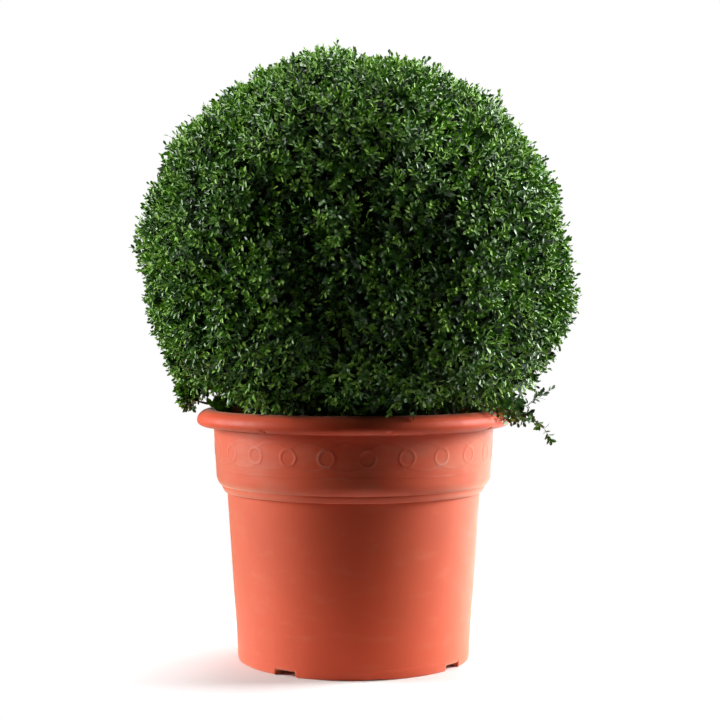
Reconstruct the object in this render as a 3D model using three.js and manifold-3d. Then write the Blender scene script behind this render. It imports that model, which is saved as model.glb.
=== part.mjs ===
// A Japanese holly clipped into a ball, standing in a terracotta-coloured plastic pot.
// Millimetres, +Z up. The origin is on the ground under the middle of the pot, and -Y is the front.
import * as THREE from "three";
import { mergeVertices } from "three/addons/utils/BufferGeometryUtils.js";
import Module from "manifold-3d";

const wasm = await Module();
wasm.setup();

// Driving dimensions
const POT_HEIGHT = 360;
const RIM_RADIUS = 225;
const FOOT_RADIUS = 166;
const CROWN_RADIUS = 308; // half the ball's width
const CROWN_CENTRE = 578; // height of the ball's widest level
const CROWN_TOP = 888; // height of its topmost leaves

// Clearance between neighbouring solids
const SEAT_GAP = 0.3;

// Pot
const POT = {
  segments: 48,
  wall: 4,
  footHeight: 6, // the floor of the pot stands this far off the ground
  footWidth: 14,
  bodyTop: 238,
  bodyTopRadius: 183,
  beadHeight: 8,
  beadRadius: 186,
  shoulderTop: 262, // the slope between the bead and the collar
  collarRadius: 198,
  collarTop: 331,
  collarTopRadius: 202,
  lipDrop: 21, // the rolled rim's outer edge hangs this far below its crown
  crownRadius: 207, // of the rim's highest circle
};

// Drain notches in the foot: four open ones, with a shallow one between each two
const NOTCH = { count: 8, width: 34, deep: 8, shallow: 1.5, firstAngle: -124 };

// Soil
const SOIL = { top: 334, mound: 4, moundRadius: 60 };

// Trunk
const TRUNK = {
  top: 362,
  footRadius: 17,
  topRadius: 13,
  flare: 11, // the root flare's extra radius on the soil
  flareFall: 5, // how quickly it dies away
  lean: 4,
  sides: 10,
  steps: 6,
};

// Low boughs that run out over the rim, each to a loose spray under the edge of the ball
const BOUGH = {
  footHeight: 349,
  tipHeight: 367.5,
  tipReach: 199,
  footRadius: 5.5,
  tipRadius: 3,
  sides: 6,
  steps: 6,
};
const LOW_SPRAYS = [
  { side: "right", azimuth: -4, reach: 84, rise: -30, seed: 11 },
  { side: "left", azimuth: 186, reach: 58, rise: 6, seed: 23 },
  { side: "back", azimuth: 98, reach: 64, rise: -20, seed: 37 },
];

// Clipped ball
const CROWN = {
  bottom: 362.5, // the lowest leaves, just over the rim
  undercut: 2.4, // exponent of the fuller curve below the widest level
  underDepth: 285,
  leafDepth: 38, // twigs and leaves stand this far out of the dense core
  lowLeafDepth: 16,
  coreBottom: 365,
  coreDetail: 5,
  coreBump: 8,
  stemRadius: 9,
  stemSink: 30, // how far the stem runs up into the core
  twigs: 90,
  twigRadius: 4,
  twigRoot: 30, // how deep a twig starts under the core's surface
  leaf: 84,
  shortLeaf: 30,
  endLeaf: 30,
  sideLeaves: 3,
  sideOpening: 1.2,
  seed: 9,
};

// Leaves stand for sprays of small leaves, so they are larger than life
const LEAF = { width: 0.54, thickness: 0.08, sink: 0.1 };
const SPRAY = { leaf: 25, sideTwigs: 6, twig: 40, twigRadius: 1.5, leavesPerTwig: 4 };
const GOLDEN_ANGLE = Math.PI * (3 - Math.sqrt(5));

const LOOKS = {
  pot: new THREE.MeshStandardMaterial({ color: 0xc2573c, roughness: 0.5, metalness: 0 }),
  soil: new THREE.MeshStandardMaterial({ color: 0x2a1d15, roughness: 0.95, metalness: 0 }),
  bark: new THREE.MeshStandardMaterial({ color: 0x6b5d4c, roughness: 0.85, metalness: 0 }),
  leaves: new THREE.MeshStandardMaterial({ color: 0x2c5a22, roughness: 0.5, metalness: 0 }),
};

// Seeded random numbers from 0 to 1, so that every run grows the same plant
function seeded(seed) {
  let state = seed;
  return () => {
    state = (state + 0x6d2b79f5) | 0;
    let mixed = Math.imul(state ^ (state >>> 15), 1 | state);
    mixed = (mixed + Math.imul(mixed ^ (mixed >>> 7), 61 | mixed)) ^ mixed;
    return ((mixed ^ (mixed >>> 14)) >>> 0) / 4294967296;
  };
}

function spread(random, amount) {
  return (2 * random() - 1) * amount;
}

// A closed three.js geometry as a solid that can be cut and joined
function solidOf(geometry) {
  const bare = geometry.clone();
  bare.deleteAttribute("normal");
  bare.deleteAttribute("uv");
  const merged = mergeVertices(bare, 1e-3);
  return new wasm.Manifold(
    new wasm.Mesh({
      numProp: 3,
      vertProperties: new Float32Array(merged.attributes.position.array),
      triVerts: new Uint32Array(merged.index.array),
    }),
  );
}

function geometryOf(solid) {
  const mesh = solid.getMesh();
  const geometry = new THREE.BufferGeometry();
  geometry.setAttribute("position", new THREE.BufferAttribute(mesh.vertProperties, 3));
  geometry.setIndex(new THREE.BufferAttribute(mesh.triVerts, 1));
  geometry.computeVertexNormals();
  return geometry;
}

// Joins solids pair by pair into one
function fuse(solids) {
  let level = solids;
  while (level.length > 1) {
    const next = [];
    for (let i = 0; i < level.length; i += 2) {
      next.push(i + 1 < level.length ? level[i].add(level[i + 1]) : level[i]);
    }
    level = next;
  }
  return level[0];
}

// The one main body of a fused solid, without loose scraps and with sealed hollows filled
function mainBody(solid) {
  return solid.decompose().reduce((best, body) => (body.volume() > best.volume() ? body : best));
}

function meet(a, b) {
  return a.intersect(b).volume() > 0;
}

// A named mesh with its own material, standing at the point that it is joined or centred on
function meshAt(origin, name, geometry, look) {
  const mesh = new THREE.Mesh(geometry.translate(-origin.x, -origin.y, -origin.z), look.clone());
  mesh.name = name;
  mesh.position.copy(origin);
  return mesh;
}

// A profile of [radius, height] points turned about the Z axis
function turned(profile, segments) {
  const points = profile.map(([radius, height]) => new THREE.Vector2(radius, height));
  return new THREE.LatheGeometry(points, segments).rotateX(Math.PI / 2);
}

// A level unit vector square to a heading
function acrossOf(heading) {
  const side = Math.abs(heading.z) < 0.9 ? new THREE.Vector3(0, 0, 1) : new THREE.Vector3(1, 0, 0);
  return new THREE.Vector3().crossVectors(heading, side).normalize();
}

// A tapering limb: a cylinder bent along part of a curve, with its radius as a function of 0 to 1
function limb(curve, from, to, radiusAt, sides, steps) {
  const geometry = new THREE.CylinderGeometry(1, 1, 1, sides, steps);
  const position = geometry.attributes.position;
  for (let i = 0; i < position.count; i++) {
    const share = position.getY(i) + 0.5;
    const radius = radiusAt(share);
    const at = THREE.MathUtils.lerp(from, to, share);
    const heading = curve.getTangentAt(at);
    const across = acrossOf(heading);
    const place = curve.getPointAt(at);
    place.addScaledVector(across, position.getX(i) * radius);
    place.addScaledVector(across.cross(heading), position.getZ(i) * radius);
    position.setXYZ(i, place.x, place.y, place.z);
  }
  return geometry;
}

// A solid made along +Z, moved to a root and turned to a heading, with its +Y side towards facing
function placed(geometry, root, heading, facing) {
  const across = new THREE.Vector3().crossVectors(facing, heading).normalize();
  const upper = new THREE.Vector3().crossVectors(heading, across);
  const matrix = new THREE.Matrix4().makeBasis(across, upper, heading).setPosition(root);
  return geometry.applyMatrix4(matrix);
}

// One leaf of eight faces, with its root at the origin and its tip along +Z
function leafGeometry(length) {
  const leaf = new THREE.OctahedronGeometry(1);
  leaf.scale((LEAF.width * length) / 2, (LEAF.thickness * length) / 2, length / 2);
  return leaf.translate(0, 0, length * (0.5 - LEAF.sink));
}

// One three-sided twig that tapers to a point
function twigGeometry(radius, length) {
  return new THREE.ConeGeometry(radius, length, 3).rotateX(Math.PI / 2).translate(0, 0, length / 2);
}

function pointsOf(geometry) {
  const position = geometry.attributes.position;
  const pointAt = (_, i) => new THREE.Vector3().fromBufferAttribute(position, i);
  return Array.from({ length: position.count }, pointAt);
}

// A heading opened away from another by an angle, towards a turn about it
function opened(heading, angle, turn) {
  const across = acrossOf(heading).applyAxisAngle(heading, turn);
  const onward = heading.clone().multiplyScalar(Math.cos(angle));
  return onward.addScaledVector(across, Math.sin(angle)).normalize();
}

// Pot: the outside from the foot up to the rolled rim, then the inside down to the floor
function potProfile() {
  const lipTop = POT_HEIGHT - POT.lipDrop;
  const inner = (radius) => radius - POT.wall;
  return [
    [0, POT.footHeight],
    [FOOT_RADIUS - POT.footWidth - 4, POT.footHeight],
    [FOOT_RADIUS - POT.footWidth, 0],
    [FOOT_RADIUS - 1.5, 0],
    [FOOT_RADIUS, 2],
    [POT.bodyTopRadius, POT.bodyTop],
    [POT.beadRadius, POT.bodyTop + 1],
    [POT.beadRadius, POT.bodyTop + POT.beadHeight - 2],
    [POT.beadRadius - 1, POT.bodyTop + POT.beadHeight],
    [POT.collarRadius, POT.shoulderTop],
    [POT.collarTopRadius, POT.collarTop],
    [RIM_RADIUS - 4, POT.collarTop + 2],
    [RIM_RADIUS, lipTop],
    [RIM_RADIUS, lipTop + 4],
    [RIM_RADIUS - 3, lipTop + 11],
    [RIM_RADIUS - 9, POT_HEIGHT - 3],
    [POT.crownRadius, POT_HEIGHT],
    [POT.crownRadius - 5, POT_HEIGHT - 2],
    [inner(POT.collarTopRadius), POT_HEIGHT - 9],
    [inner(POT.collarTopRadius), POT.collarTop],
    [inner(POT.collarRadius), POT.shoulderTop],
    [inner(POT.bodyTopRadius), POT.bodyTop],
    [inner(FOOT_RADIUS), POT.footHeight + POT.wall],
    [0, POT.footHeight + POT.wall],
  ];
}

function notchCutter(index) {
  const height = index % 2 ? NOTCH.shallow : NOTCH.deep;
  const depth = 3 * POT.footWidth;
  const cutter = new THREE.BoxGeometry(depth, NOTCH.width, 2 * height);
  cutter.translate(FOOT_RADIUS - depth / 2 + POT.footWidth, 0, 0);
  cutter.rotateZ(THREE.MathUtils.degToRad(NOTCH.firstAngle + (360 / NOTCH.count) * index));
  return solidOf(cutter);
}

function potSolid() {
  const shell = solidOf(turned(potProfile(), POT.segments));
  const notches = Array.from({ length: NOTCH.count }, (_, index) => notchCutter(index));
  return notches.reduce((left, notch) => left.subtract(notch), shell);
}

// Soil: fills the pot to below the rim, with a flat mound under the trunk
function soilGeometry() {
  const inside = (radius) => radius - POT.wall - SEAT_GAP;
  const floor = POT.footHeight + POT.wall + SEAT_GAP;
  const edge = SOIL.top - SOIL.mound;
  return turned(
    [
      [0, floor],
      [inside(FOOT_RADIUS), floor],
      [inside(POT.bodyTopRadius), POT.bodyTop],
      [inside(POT.collarRadius), POT.shoulderTop],
      [inside(POT.collarTopRadius) - 0.1, edge],
      [SOIL.moundRadius, SOIL.top],
      [0, SOIL.top],
    ],
    POT.segments,
  );
}

// Where the leaning trunk's middle is, at a share of its height
function trunkMiddle(share) {
  const foot = SOIL.top + SEAT_GAP;
  const shift = TRUNK.lean * share ** 1.5;
  return new THREE.Vector3(shift, 0.4 * shift, THREE.MathUtils.lerp(foot, TRUNK.top, share));
}

// Trunk: a short tapering stem with a root flare, cut level on the soil and again at its top
function trunkGeometry(grow = 0) {
  const geometry = new THREE.CylinderGeometry(1, 1, 1, TRUNK.sides, TRUNK.steps).rotateX(Math.PI / 2);
  const position = geometry.attributes.position;
  for (let i = 0; i < position.count; i++) {
    const share = position.getZ(i) + 0.5;
    const taper = THREE.MathUtils.lerp(TRUNK.footRadius, TRUNK.topRadius, share);
    const radius = taper + TRUNK.flare * Math.exp(-TRUNK.flareFall * share) + grow;
    const place = trunkMiddle(share);
    place.x += position.getX(i) * radius;
    place.y += position.getY(i) * radius;
    position.setXYZ(i, place.x, place.y, place.z);
  }
  return geometry;
}

function aroundAt(azimuth, radius, height) {
  const angle = THREE.MathUtils.degToRad(azimuth);
  return new THREE.Vector3(radius * Math.cos(angle), radius * Math.sin(angle), height);
}

// The line that a low bough follows out over the rim, and that its spray's stem goes on along
function lowLine(spray) {
  const foot = TRUNK.topRadius / 2;
  const run = BOUGH.tipReach - foot;
  const rise = BOUGH.tipHeight - BOUGH.footHeight;
  return new THREE.CatmullRomCurve3([
    aroundAt(spray.azimuth, foot, BOUGH.footHeight),
    aroundAt(spray.azimuth, foot + run * 0.35, BOUGH.footHeight + rise * 0.6),
    aroundAt(spray.azimuth, foot + run * 0.7, BOUGH.footHeight + rise * 0.95),
    aroundAt(spray.azimuth, BOUGH.tipReach, BOUGH.tipHeight),
    aroundAt(spray.azimuth + 2, BOUGH.tipReach + spray.reach * 0.45, BOUGH.tipHeight + spray.rise * 0.3),
    aroundAt(spray.azimuth - 1, BOUGH.tipReach + spray.reach * 0.85, BOUGH.tipHeight + spray.rise),
  ]);
}

// The share of that line at which the bough ends
function boughEnd(spray) {
  return BOUGH.tipReach / (BOUGH.tipReach + Math.hypot(spray.reach, spray.rise));
}

// One low bough, from inside the trunk out over the rim
function boughGeometry(spray, grow = 0) {
  const radiusAt = (share) => THREE.MathUtils.lerp(BOUGH.footRadius, BOUGH.tipRadius, share) + grow;
  return limb(lowLine(spray), 0, boughEnd(spray), radiusAt, BOUGH.sides, BOUGH.steps);
}

// Distance from the ball's centre to its clipped outline, along a unit heading
function curveReach(heading) {
  const up = heading.z >= 0;
  const power = up ? 2 : CROWN.undercut;
  const depth = up ? CROWN_TOP - CROWN_CENTRE : CROWN.underDepth;
  const across = Math.hypot(heading.x, heading.y) / CROWN_RADIUS;
  return (across ** power + (Math.abs(heading.z) / depth) ** power) ** (-1 / power);
}

// Distance from the ball's centre down to a level, along a unit heading
function levelReach(heading, level) {
  return heading.z < 0 ? (CROWN_CENTRE - level) / -heading.z : Infinity;
}

function outlineReach(heading) {
  return Math.min(curveReach(heading), levelReach(heading, CROWN.bottom));
}

// The core comes nearer to the outline low down, where the ball closes over the rim
function coreReach(heading) {
  const low = THREE.MathUtils.smoothstep(-heading.z, 0.3, 0.65);
  const depth = THREE.MathUtils.lerp(CROWN.leafDepth, CROWN.lowLeafDepth, low);
  return Math.min(curveReach(heading) - depth, levelReach(heading, CROWN.coreBottom));
}

const crownCentre = new THREE.Vector3(0, 0, CROWN_CENTRE);

function insideCrown(point) {
  const offset = point.clone().sub(crownCentre);
  const distance = offset.length();
  return distance <= outlineReach(offset.normalize()) + 1e-6;
}

// The dense core, with a lumpy surface
function coreGeometry(random) {
  const core = mergeVertices(bareSphere(CROWN.coreDetail), 1e-3);
  const position = core.attributes.position;
  for (let i = 0; i < position.count; i++) {
    const heading = new THREE.Vector3().fromBufferAttribute(position, i).normalize();
    const bump = heading.z > -0.5 ? spread(random, CROWN.coreBump) : 0;
    const place = crownCentre.clone().addScaledVector(heading, coreReach(heading) + bump);
    position.setXYZ(i, place.x, place.y, place.z);
  }
  return core;
}

function bareSphere(detail) {
  const sphere = new THREE.IcosahedronGeometry(1, detail);
  sphere.deleteAttribute("normal");
  sphere.deleteAttribute("uv");
  return sphere;
}

// Evenly spread headings, by a golden-angle spiral with a little seeded jitter
function spiralHeading(index, count, random) {
  const z = 1 - (2 * (index + 0.5)) / count + spread(random, 0.5 / count);
  const turn = index * GOLDEN_ANGLE + spread(random, 0.12);
  const across = Math.sqrt(1 - z * z);
  return new THREE.Vector3(across * Math.cos(turn), across * Math.sin(turn), z);
}

// A leaf of the ball, shortened step by step until it stays inside the clipped outline
function clippedLeaf(root, heading, facing, length) {
  const leaf = placed(leafGeometry(length), root, heading, facing);
  const fits = pointsOf(leaf).every(insideCrown);
  return fits || length < CROWN.shortLeaf ? leaf : clippedLeaf(root, heading, facing, length * 0.94);
}

// A twig of the ball with its side leaves and end leaf, as solids that stay in the ball and off the limbs
function crownTwig(heading, random, keepOut) {
  const reach = outlineReach(heading);
  const root = crownCentre.clone().addScaledVector(heading, coreReach(heading) - CROWN.twigRoot);
  const length = reach - coreReach(heading) + CROWN.twigRoot - CROWN.endLeaf;
  const along = (share) => root.clone().addScaledVector(heading, length * share);
  const firstTurn = random() * 2 * Math.PI;
  const crosswise = opened(heading, Math.PI / 2, firstTurn);
  const twig = twigGeometry(CROWN.twigRadius, length + CROWN.twigRadius);
  const pieces = [placed(twig, root, heading, crosswise)];
  for (let i = 0; i < CROWN.sideLeaves; i++) {
    const turn = firstTurn + (i * 2 * Math.PI) / CROWN.sideLeaves + spread(random, 0.3);
    const direction = opened(heading, CROWN.sideOpening + spread(random, 0.15), turn);
    const place = along(0.8 + spread(random, 0.08));
    pieces.push(clippedLeaf(place, direction, heading, CROWN.leaf * (0.9 + 0.25 * random())));
  }
  const endLeaf = leafGeometry(CROWN.endLeaf / (1 - LEAF.sink));
  pieces.push(placed(endLeaf, along(1), heading, crosswise));
  const fitting = pieces.filter((piece) => pointsOf(piece).every(insideCrown));
  return fitting.map(solidOf).filter((solid) => !meet(solid, keepOut));
}

// The clipped ball: a stem that stands on the trunk, a core, and twigs with leaves on all sides
function crownSolid(keepOut) {
  const random = seeded(CROWN.seed);
  const foot = trunkMiddle(1).add(new THREE.Vector3(0, 0, SEAT_GAP));
  const rise = CROWN.coreBottom + CROWN.stemSink - foot.z;
  const stem = new THREE.CylinderGeometry(CROWN.stemRadius, TRUNK.topRadius - 1, rise, TRUNK.sides);
  stem.rotateX(Math.PI / 2).translate(foot.x, foot.y, foot.z + rise / 2);
  const solids = [solidOf(coreGeometry(random)).subtract(keepOut), solidOf(stem)];
  for (let i = 0; i < CROWN.twigs; i++) {
    const heading = spiralHeading(i, CROWN.twigs, random);
    if (curveReach(heading) > levelReach(heading, CROWN.bottom)) continue;
    solids.push(...crownTwig(heading, random, keepOut));
  }
  return mainBody(fuse(solids));
}

// The room that a loose spray keeps to: a ball-like space round its stem
function sprayRoom(spray, grow = 0) {
  const reach = BOUGH.tipReach + spray.reach * 0.55;
  const middle = aroundAt(spray.azimuth, reach, BOUGH.tipHeight + spray.rise * 0.5);
  const depth = Math.abs(spray.rise) * 0.5 + 34 + grow;
  const room = new THREE.SphereGeometry(1, 16, 10).rotateX(Math.PI / 2);
  room.scale(spray.reach * 0.62 + grow, 52 + grow, depth);
  room.rotateZ(THREE.MathUtils.degToRad(spray.azimuth));
  return room.translate(middle.x, middle.y, middle.z);
}

// One leafy twig of a loose spray
function sprayTwig(root, heading, length, random) {
  const twig = twigGeometry(SPRAY.twigRadius, length);
  const pieces = [placed(twig, root, heading, acrossOf(heading))];
  for (let i = 0; i < SPRAY.leavesPerTwig; i++) {
    const last = i === SPRAY.leavesPerTwig - 1;
    const share = 0.3 + (0.6 * i) / (SPRAY.leavesPerTwig - 1);
    const turn = i * GOLDEN_ANGLE + spread(random, 0.3);
    const direction = opened(heading, last ? 0.15 : 0.9, turn);
    const facing = opened(heading, 0.3, turn);
    const place = root.clone().addScaledVector(heading, length * share);
    pieces.push(placed(leafGeometry(SPRAY.leaf * (0.85 + 0.3 * random())), place, direction, facing));
  }
  return pieces;
}

// A loose spray: a stem on from its bough's tip, with leafy twigs to both sides
function spraySolid(spray, keepOut) {
  const random = seeded(spray.seed);
  const line = lowLine(spray);
  const first = boughEnd(spray) + SEAT_GAP / line.getLength();
  const shareOf = (part) => THREE.MathUtils.lerp(first, 1, part);
  const radiusAt = (part) => THREE.MathUtils.lerp(BOUGH.tipRadius, SPRAY.twigRadius * 0.7, part);
  const stem = limb(line, first, 1, radiusAt, BOUGH.sides, BOUGH.steps);
  const pieces = [];
  for (let i = 0; i < SPRAY.sideTwigs; i++) {
    const part = 0.22 + (0.7 * i) / (SPRAY.sideTwigs - 1);
    const root = line.getPointAt(shareOf(part));
    const turn = i * GOLDEN_ANGLE + spread(random, 0.4);
    const heading = opened(line.getTangentAt(shareOf(part)), 0.75, turn);
    pieces.push(...sprayTwig(root, heading, SPRAY.twig * (1.1 - 0.4 * part), random));
  }
  const end = line.getPointAt(shareOf(0.93));
  pieces.push(...sprayTwig(end, line.getTangentAt(1), SPRAY.twig * 0.7, random));
  const room = solidOf(sprayRoom(spray));
  const fits = (solid) => solid.subtract(room).volume() < 1e-3 && !meet(solid, keepOut);
  return mainBody(fuse([solidOf(stem), ...pieces.map(solidOf).filter(fits)]));
}

// Assembly
const pot = potSolid();
const trunk = trunkGeometry();
const trunkRoom = solidOf(trunkGeometry(SEAT_GAP));
const boughs = LOW_SPRAYS.map((spray) => mainBody(solidOf(boughGeometry(spray)).subtract(trunkRoom)));
const rimRoom = solidOf(turned(potProfile(), POT.segments).scale(1.012, 1.012, 1.006));
const sprays = LOW_SPRAYS.map((spray) => spraySolid(spray, rimRoom));
const limbRoom = fuse([
  trunkRoom,
  ...LOW_SPRAYS.map((spray) => solidOf(boughGeometry(spray, 1))),
  ...LOW_SPRAYS.map((spray) => solidOf(sprayRoom(spray, 1.5))),
]);
const crown = crownSolid(limbRoom);

const container = new THREE.Group();
container.name = "container";
container.add(meshAt(new THREE.Vector3(), "pot", geometryOf(pot), LOOKS.pot));
const potFloor = new THREE.Vector3(0, 0, POT.footHeight + POT.wall);
container.add(meshAt(potFloor, "soil", soilGeometry(), LOOKS.soil));

const shrub = new THREE.Group();
shrub.name = "shrub";
shrub.add(meshAt(trunkMiddle(0), "trunk", trunk, LOOKS.bark));
LOW_SPRAYS.forEach((spray, index) => {
  const line = lowLine(spray);
  const tip = line.getPointAt(boughEnd(spray));
  shrub.add(meshAt(line.getPointAt(0), `low_bough_${spray.side}`, geometryOf(boughs[index]), LOOKS.bark));
  shrub.add(meshAt(tip, `low_spray_${spray.side}`, geometryOf(sprays[index]), LOOKS.leaves));
});
shrub.add(meshAt(crownCentre, "crown_ball", geometryOf(crown), LOOKS.leaves));

const plant = new THREE.Group();
plant.name = "potted_japanese_holly_ball";
plant.add(container, shrub);

export default plant;
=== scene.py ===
import math

import bmesh
import bpy
import numpy as np
from mathutils import Matrix, Vector, noise


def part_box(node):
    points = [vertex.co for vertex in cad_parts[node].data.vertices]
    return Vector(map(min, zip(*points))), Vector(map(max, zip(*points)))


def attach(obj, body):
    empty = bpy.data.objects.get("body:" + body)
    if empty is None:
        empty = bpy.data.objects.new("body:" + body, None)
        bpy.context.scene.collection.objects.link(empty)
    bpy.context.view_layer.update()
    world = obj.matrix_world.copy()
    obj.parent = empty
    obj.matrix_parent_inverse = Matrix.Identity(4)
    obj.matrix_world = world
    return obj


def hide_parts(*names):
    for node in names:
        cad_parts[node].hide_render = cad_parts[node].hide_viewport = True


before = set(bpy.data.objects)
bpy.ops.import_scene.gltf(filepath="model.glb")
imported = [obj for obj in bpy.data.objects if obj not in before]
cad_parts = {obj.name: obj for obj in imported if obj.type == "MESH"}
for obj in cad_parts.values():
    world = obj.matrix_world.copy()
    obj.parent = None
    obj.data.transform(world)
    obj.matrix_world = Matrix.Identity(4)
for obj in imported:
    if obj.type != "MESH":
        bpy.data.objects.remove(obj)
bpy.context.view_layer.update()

# A Japanese holly clipped into a ball, in a terracotta-coloured plastic pot. Metres, front is -Y.
mm = 0.001
goldenAngle = math.pi * (3 - math.sqrt(5))
scene = bpy.context.scene
print("frame loaded:", sorted(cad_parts))


# small helpers shared by the pieces
def addPiece(name, mesh, material, slotName, *nodes):
    mesh.materials.append(material)
    piece = bpy.data.objects.new(name, mesh)
    scene.collection.objects.link(piece)
    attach(piece, "root")
    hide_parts(*nodes)
    return piece


def meshFrom(bm, name):
    mesh = bpy.data.meshes.new(name)
    bm.to_mesh(mesh)
    bm.free()
    mesh.shade_smooth()
    return mesh


def joinedMesh(name, points, triangles):
    mesh = bpy.data.meshes.new(name)
    mesh.vertices.add(len(points))
    mesh.vertices.foreach_set("co", points.astype(np.float32).ravel())
    mesh.loops.add(3 * len(triangles))
    mesh.loops.foreach_set("vertex_index", triangles.astype(np.int32).ravel())
    mesh.polygons.add(len(triangles))
    mesh.polygons.foreach_set("loop_start", np.arange(0, 3 * len(triangles), 3, dtype=np.int32))
    mesh.update(calc_edges=True)
    mesh.shade_smooth()
    return mesh


# a line of corners, given as radius and height in mm, ready to be turned round the axis
def profileLine(bm, corners):
    line = [bm.verts.new((radius * mm, 0, height * mm)) for radius, height in corners]
    for pair in zip(line, line[1:]):
        bm.edges.new(pair)
    return line


def turnProfile(bm, steps):
    bmesh.ops.spin(bm, geom=bm.verts[:] + bm.edges[:], cent=(0, 0, 0), axis=(0, 0, 1), angle=2 * math.pi,
                   steps=steps, use_merge=True)
    bmesh.ops.remove_doubles(bm, verts=bm.verts[:], dist=1e-5)
    bmesh.ops.recalc_face_normals(bm, faces=bm.faces[:])


def unit(vectors):
    return vectors / np.maximum(np.linalg.norm(vectors, axis=-1, keepdims=True), 1e-9)


def newMaterial(name, colour, roughness, specular=0.5):
    material = bpy.data.materials.new(name)
    material.use_nodes = True
    shader = material.node_tree.nodes["Principled BSDF"]
    shader.inputs["Base Color"].default_value = (*colour, 1)
    shader.inputs["Roughness"].default_value = roughness
    shader.inputs["Specular IOR Level"].default_value = specular
    return material, material.node_tree, shader


def objectNoise(tree, scale, detail, stretch=(1, 1, 1)):
    place = tree.nodes.new("ShaderNodeTexCoord")
    mapping = tree.nodes.new("ShaderNodeMapping")
    mapping.inputs["Scale"].default_value = stretch
    texture = tree.nodes.new("ShaderNodeTexNoise")
    texture.inputs["Scale"].default_value = scale
    texture.inputs["Detail"].default_value = detail
    tree.links.new(place.outputs["Object"], mapping.inputs["Vector"])
    tree.links.new(mapping.outputs["Vector"], texture.inputs["Vector"])
    return texture.outputs["Fac"]


def heightShare(tree, top):
    place = tree.nodes.new("ShaderNodeTexCoord")
    split = tree.nodes.new("ShaderNodeSeparateXYZ")
    share = tree.nodes.new("ShaderNodeMath")
    share.operation = "DIVIDE"
    share.inputs[1].default_value = top
    tree.links.new(place.outputs["Object"], split.inputs["Vector"])
    tree.links.new(split.outputs["Z"], share.inputs[0])
    return share.outputs["Value"]


def ramp(tree, value, stops):
    node = tree.nodes.new("ShaderNodeValToRGB")
    for index, (at, colour) in enumerate(stops):
        stop = node.color_ramp.elements[index] if index < 2 else node.color_ramp.elements.new(at)
        stop.position = at
        stop.color = (*colour, 1)
    tree.links.new(value, node.inputs["Fac"])
    return node.outputs["Color"]


# the same from plain amounts, for a factor
def amountRamp(tree, value, stops):
    return ramp(tree, value, [(at, (amount,) * 3) for at, amount in stops])


def blendColours(tree, factor, first, second, mode="MIX"):
    node = tree.nodes.new("ShaderNodeMix")
    node.data_type = "RGBA"
    node.blend_type = mode
    sockets = {s.identifier: s for s in node.inputs}
    for name, value in (("Factor_Float", factor), ("A_Color", first), ("B_Color", second)):
        if isinstance(value, bpy.types.NodeSocket):
            tree.links.new(value, sockets[name])
        elif isinstance(value, tuple):
            sockets[name].default_value = (*value, 1)
        else:
            sockets[name].default_value = value
    return [s for s in node.outputs if s.identifier == "Result_Color"][0]


def bumpFrom(tree, height, strength, distance):
    node = tree.nodes.new("ShaderNodeBump")
    node.inputs["Strength"].default_value = strength
    node.inputs["Distance"].default_value = distance
    tree.links.new(height, node.inputs["Height"])
    return node.outputs["Normal"]


# camera, light and floor
view = {"lens": 79.0, "sensor": 36, "away": 2.291, "height": 0.481, "aside": 0.0094, "lookDown": 1.27}
light = {
    # soft light from all round, and a shine on glossy surfaces only: least, most and where it comes from
    "world": 0.012, "shine": (0.02, 5.0), "shineFrom": (0.87, 0.48, 0.05),
    # power, size across and up, place, and the height on the axis that the lamp is aimed at
    "lamps": {
        "leftLight": (91.0, (1.1, 1.2), (-2.3, 0.14, 0.92), 0.5),
        "rightLight": (126.0, (1.1, 1.2), (2.3, 0.41, 1.36), 0.5),
        "backLight": (46.0, (2.6, 2.2), (1.3, 2.5, 1.1), 0.55),
        "topLight": (92.0, (1.9, 1.9), (0, 0.52, 2.7), 0.5),
    },
}
floorLook = {"radius": 0.8, "segments": 96, "clearFrom": 0.24, "clearTo": 0.62, "colour": (0.84, 0.84, 0.84),
             "roughness": 0.7, "gloss": 0.2}


def placeCamera():
    data = bpy.data.cameras.new("camera")
    data.lens = view["lens"]
    data.sensor_width = view["sensor"]
    camera = bpy.data.objects.new("camera", data)
    camera.location = (view["aside"], -view["away"], view["height"])
    camera.rotation_euler = (math.radians(90 - view["lookDown"]), 0, 0)
    scene.collection.objects.link(camera)
    scene.camera = camera


def areaLight(name, power, size, place, aimHeight):
    data = bpy.data.lights.new(name, "AREA")
    data.shape = "RECTANGLE"
    data.size, data.size_y = size
    data.energy = power
    lamp = bpy.data.objects.new(name, data)
    lamp.location = place
    lamp.rotation_euler = (Vector((0, 0, aimHeight)) - Vector(place)).to_track_quat("-Z", "Y").to_euler()
    lamp.visible_camera = False
    scene.collection.objects.link(lamp)


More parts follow.
